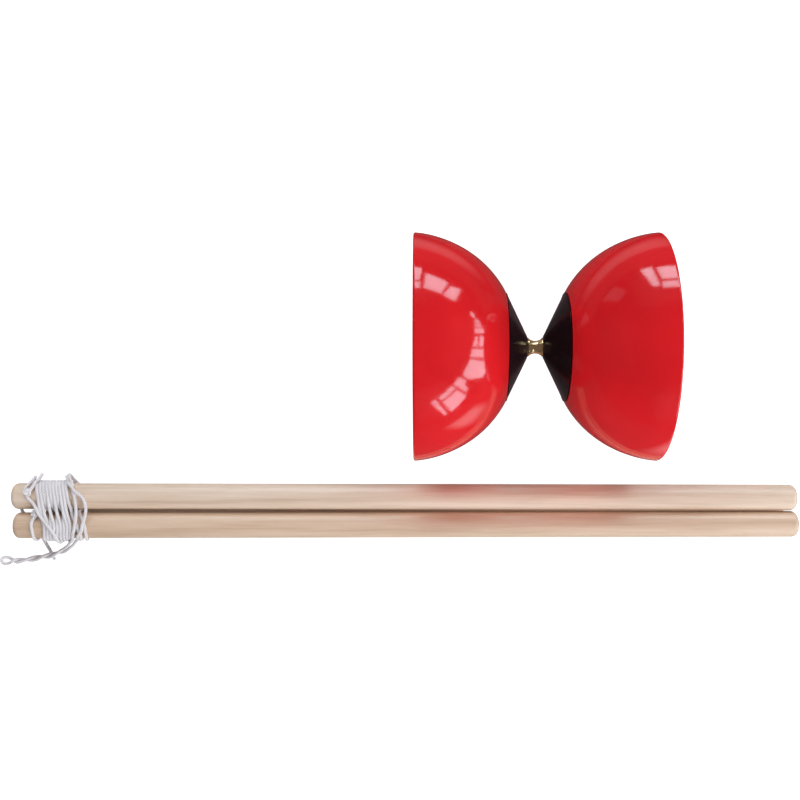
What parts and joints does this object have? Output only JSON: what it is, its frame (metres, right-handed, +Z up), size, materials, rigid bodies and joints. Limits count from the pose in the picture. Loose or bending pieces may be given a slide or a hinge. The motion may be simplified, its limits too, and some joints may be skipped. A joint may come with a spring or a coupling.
{
  "type": "diabolo with hand sticks",
  "caption": "Juggling spool of two open bowls on a narrow brass waist, lying beside two round wooden hand sticks with the string wound round them.",
  "frame": {"origin": "centre of the base of the box round the spool and the sticks, on the surface they lie on; the string is left out of that box", "axes": "+X along the sticks and the spool's axle, away from the end with the string; +Y from the sticks towards the spool; +Z up"},
  "size_m": [0.3293, 0.1312, 0.0849],
  "materials": {
    "cup_red": "glossy moulded plastic, slightly translucent",
    "hub_black": "glossy moulded plastic",
    "brass": "turned, polished by the string",
    "steel": "zinc plated",
    "stick_wood": "sanded pale hardwood, unvarnished",
    "string_white": "soft braided cord"
  },
  "bodies": {
    "sticks_and_string": {"rear_stick": "stick_wood", "front_stick": "stick_wood", "string_winding": "string_white", "string_left_loop": "string_white", "string_right_loop": "string_white", "string_tail": "string_white", "string_tail_loop": "string_white", "string_rear_end": "string_white", "string_front_tie": "string_white", "string_front_end": "string_white", "string_rear_knot": "string_white", "string_front_knot": "string_white"},
    "spool_bush": {"axle_spool": "brass"},
    "diabolo": {"left_cup": "cup_red", "right_cup": "cup_red", "left_hub": "hub_black", "right_hub": "hub_black", "left_clamp_disc": "hub_black", "right_clamp_disc": "hub_black", "axle_bolt": "steel", "axle_nut": "steel", "left_washer": "steel", "right_washer": "steel"}
  },
  "joints": [
    {"name": "diabolo_lift", "type": "slide", "parent": "sticks_and_string", "child": "spool_bush", "axis": [0, 0, 1], "range_m": [0, 0.15]},
    {"name": "diabolo_spin", "type": "hinge", "parent": "spool_bush", "child": "diabolo", "pos_m": [0.04875, 0.0165, 0.0425], "axis": [1, 0, 0], "continuous": true}
  ]
}
